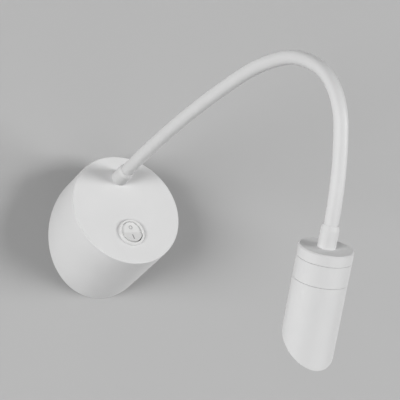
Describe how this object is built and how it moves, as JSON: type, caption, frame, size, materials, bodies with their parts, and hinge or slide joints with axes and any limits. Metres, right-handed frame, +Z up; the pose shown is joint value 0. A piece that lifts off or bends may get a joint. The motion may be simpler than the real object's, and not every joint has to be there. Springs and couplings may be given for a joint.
{
  "type": "bedside wall reading lamp",
  "caption": "Wall reading lamp with a round tilted base, a rocker switch on its face, a bendable neck and a slim round head with a slant-cut shade.",
  "frame": {"origin": "point of the wall plane where the axis of the round base meets it, midway between the two wall screws", "axes": "+Z up, +Y into the wall, the lamp stands out towards -Y, +X to the right of someone who faces the lamp"},
  "size_m": [0.096, 0.368, 0.2295],
  "materials": {
    "base_paint": "fine satin powder coat, off-white",
    "head_paint": "fine satin powder coat, off-white",
    "ferrule_paint": "satin paint, off-white",
    "neck_plastic": "soft satin sleeve, off-white",
    "switch_plastic": "moulded satin gloss, white",
    "rocker_plastic": "moulded satin gloss, white",
    "zinc_steel": "zinc plated",
    "hose_steel": "bright wound wire",
    "contact_brass": "bare brass",
    "rubber_black": "matt",
    "pad_rubber": "matt",
    "connector_plastic": "moulded",
    "driver_case": "moulded",
    "wire_insulation": "satin",
    "board_aluminium": "white solder mask",
    "phosphor": "moulded",
    "lens_plastic": "clear moulded"
  },
  "bodies": {
    "base": {"base_housing": "base_paint", "wall_bracket": "zinc_steel", "housing_screw": "base_paint", "cable_grommet": "rubber_black", "terminal_block": "connector_plastic", "terminal_screws": "zinc_steel", "led_driver": "driver_case", "driver_leads": "wire_insulation", "switch_body": "switch_plastic", "switch_terminals": "contact_brass", "switch_leads": "wire_insulation", "root_ferrule": "ferrule_paint", "root_nut": "zinc_steel", "root_washer": "zinc_steel", "neck_hose_1": "hose_steel", "neck_sleeve": "neck_plastic", "neck_cable": "wire_insulation"},
    "neck_2": {"neck_hose_2": "hose_steel"},
    "neck_3": {"neck_hose_3": "hose_steel"},
    "neck_4": {"neck_hose_4": "hose_steel"},
    "neck_5": {"neck_hose_5": "hose_steel"},
    "neck_6": {"neck_hose_6": "hose_steel"},
    "head": {"neck_hose_7": "hose_steel", "tip_ferrule": "ferrule_paint", "tip_nut": "zinc_steel", "head_cap": "head_paint", "head_ring": "head_paint", "head_shade": "head_paint", "head_wires": "wire_insulation", "thermal_pad": "pad_rubber", "light_board": "board_aluminium", "board_screws": "zinc_steel", "light_chip": "phosphor", "lens": "lens_plastic", "lens_ring": "rubber_black"},
    "rocker": {"switch_rocker": "rocker_plastic", "switch_plunger": "connector_plastic", "switch_spring": "zinc_steel"},
    "contact": {"switch_contact": "contact_brass"}
  },
  "joints": [
    {"name": "neck_bend_1", "type": "hinge", "parent": "base", "child": "neck_2", "pos_m": [0, -0.08077, 0.06803], "axis": [1, 0, 0], "range_deg": [-20, 20], "deforming": ["neck_sleeve", "neck_cable"]},
    {"name": "neck_swing_2", "type": "hinge", "parent": "neck_2", "child": "neck_3", "pos_m": [0, -0.14657, 0.09446], "axis": [0, 0.3475, 0.9377], "range_deg": [-20, 20], "deforming": ["neck_sleeve", "neck_cable"]},
    {"name": "neck_bend_3", "type": "hinge", "parent": "neck_3", "child": "neck_4", "pos_m": [0, -0.2137, 0.11729], "axis": [1, 0, 0], "range_deg": [-20, 20], "deforming": ["neck_sleeve", "neck_cable"]},
    {"name": "neck_bend_4", "type": "hinge", "parent": "neck_4", "child": "neck_5", "pos_m": [0, -0.28296, 0.13165], "axis": [1, 0, 0], "range_deg": [-20, 14], "deforming": ["neck_sleeve", "neck_cable"]},
    {"name": "neck_swing_5", "type": "hinge", "parent": "neck_5", "child": "neck_6", "pos_m": [0, -0.34937, 0.11307], "axis": [0, -0.7137, 0.7005], "range_deg": [-20, 20], "deforming": ["neck_sleeve", "neck_cable"]},
    {"name": "neck_bend_6", "type": "hinge", "parent": "neck_6", "child": "head", "pos_m": [0, -0.35942, 0.0459], "axis": [1, 0, 0], "range_deg": [-20, 14], "deforming": ["neck_sleeve", "neck_cable"]},
    {"name": "switch_rock", "type": "hinge", "parent": "base", "child": "rocker", "pos_m": [0, -0.05419, 0.0021], "axis": [1, 0, 0], "range_deg": [0, 18]},
    {"name": "contact_rock", "type": "hinge", "parent": "base", "child": "contact", "pos_m": [0, -0.04508, -0.00215], "axis": [1, 0, 0], "range_deg": [-14, 0]}
  ],
  "couplings": [
    {"joint": "neck_bend_3", "follows": "neck_bend_1", "ratio": 1},
    {"joint": "neck_bend_6", "follows": "neck_bend_4", "ratio": 1},
    {"joint": "contact_rock", "follows": "switch_rock", "ratio": -0.7777}
  ]
}
